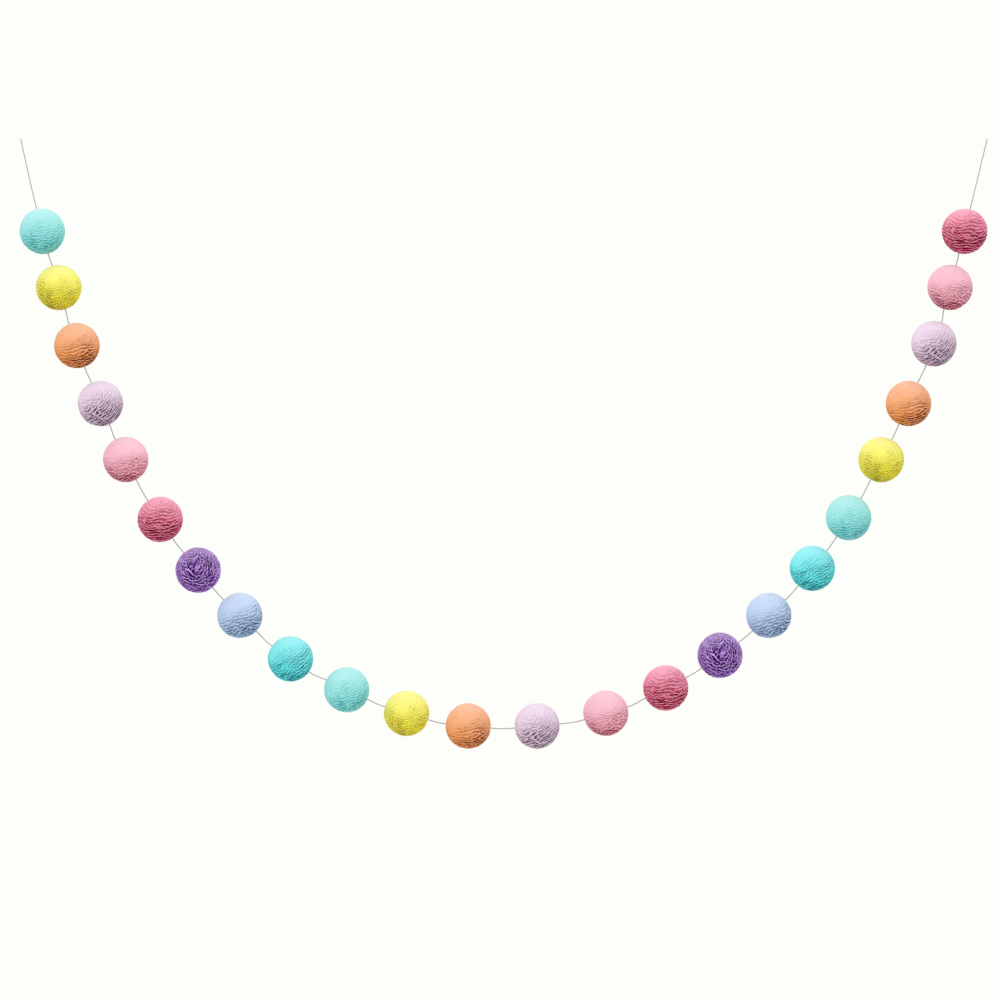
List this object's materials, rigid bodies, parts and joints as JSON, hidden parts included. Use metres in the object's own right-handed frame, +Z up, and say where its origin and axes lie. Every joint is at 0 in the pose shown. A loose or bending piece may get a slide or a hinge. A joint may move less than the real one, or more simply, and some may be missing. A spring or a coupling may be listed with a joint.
{
  "type": "felt ball garland",
  "caption": "Garland of pastel felted wool balls threaded on a thin string, hanging in a deep curve from the string's two bare ends to decorate a wall, shelf or window.",
  "frame": {"origin": "the string's bare left end, where it is fastened to the wall", "axes": "+X from the left end to the right end, +Z up, +Y towards the wall behind"},
  "size_m": [0.5343, 0.025, 0.3365],
  "materials": {
    "felt_aqua": "aqua felted wool, matt, with matted curved strands and a few loose wisps lying on them",
    "felt_yellow": "yellow felted wool, matt, with matted curved strands and a few loose wisps lying on them",
    "felt_orange": "soft orange felted wool, matt, with matted curved strands and a few loose wisps lying on them",
    "felt_lilac": "lilac felted wool, matt, with matted curved strands and a few loose wisps lying on them",
    "felt_light_pink": "light pink felted wool, matt, with matted curved strands and a few loose wisps lying on them",
    "felt_rose": "rose felted wool, matt, with matted curved strands and a few loose wisps lying on them",
    "felt_purple": "purple felted wool, matt, with matted curved strands and a few loose wisps lying on them",
    "felt_light_blue": "light blue felted wool, matt, with matted curved strands and a few loose wisps lying on them",
    "felt_turquoise": "turquoise felted wool, matt, with matted curved strands and a few loose wisps lying on them",
    "string": "thin twisted off-white thread, matt"
  },
  "bodies": {
    "root": {"ball_01_aqua": "felt_aqua", "ball_02_yellow": "felt_yellow", "ball_03_orange": "felt_orange", "ball_04_lilac": "felt_lilac", "ball_05_light_pink": "felt_light_pink", "ball_06_rose": "felt_rose", "ball_07_purple": "felt_purple", "ball_08_light_blue": "felt_light_blue", "ball_09_turquoise": "felt_turquoise", "ball_10_aqua": "felt_aqua", "ball_11_yellow": "felt_yellow", "ball_12_orange": "felt_orange", "ball_13_lilac": "felt_lilac", "ball_14_light_pink": "felt_light_pink", "ball_15_rose": "felt_rose", "ball_16_purple": "felt_purple", "ball_17_light_blue": "felt_light_blue", "ball_18_turquoise": "felt_turquoise", "ball_19_aqua": "felt_aqua", "ball_20_yellow": "felt_yellow", "ball_21_orange": "felt_orange", "ball_22_lilac": "felt_lilac", "ball_23_light_pink": "felt_light_pink", "ball_24_rose": "felt_rose", "string": "string"}
  },
  "joints": []
}
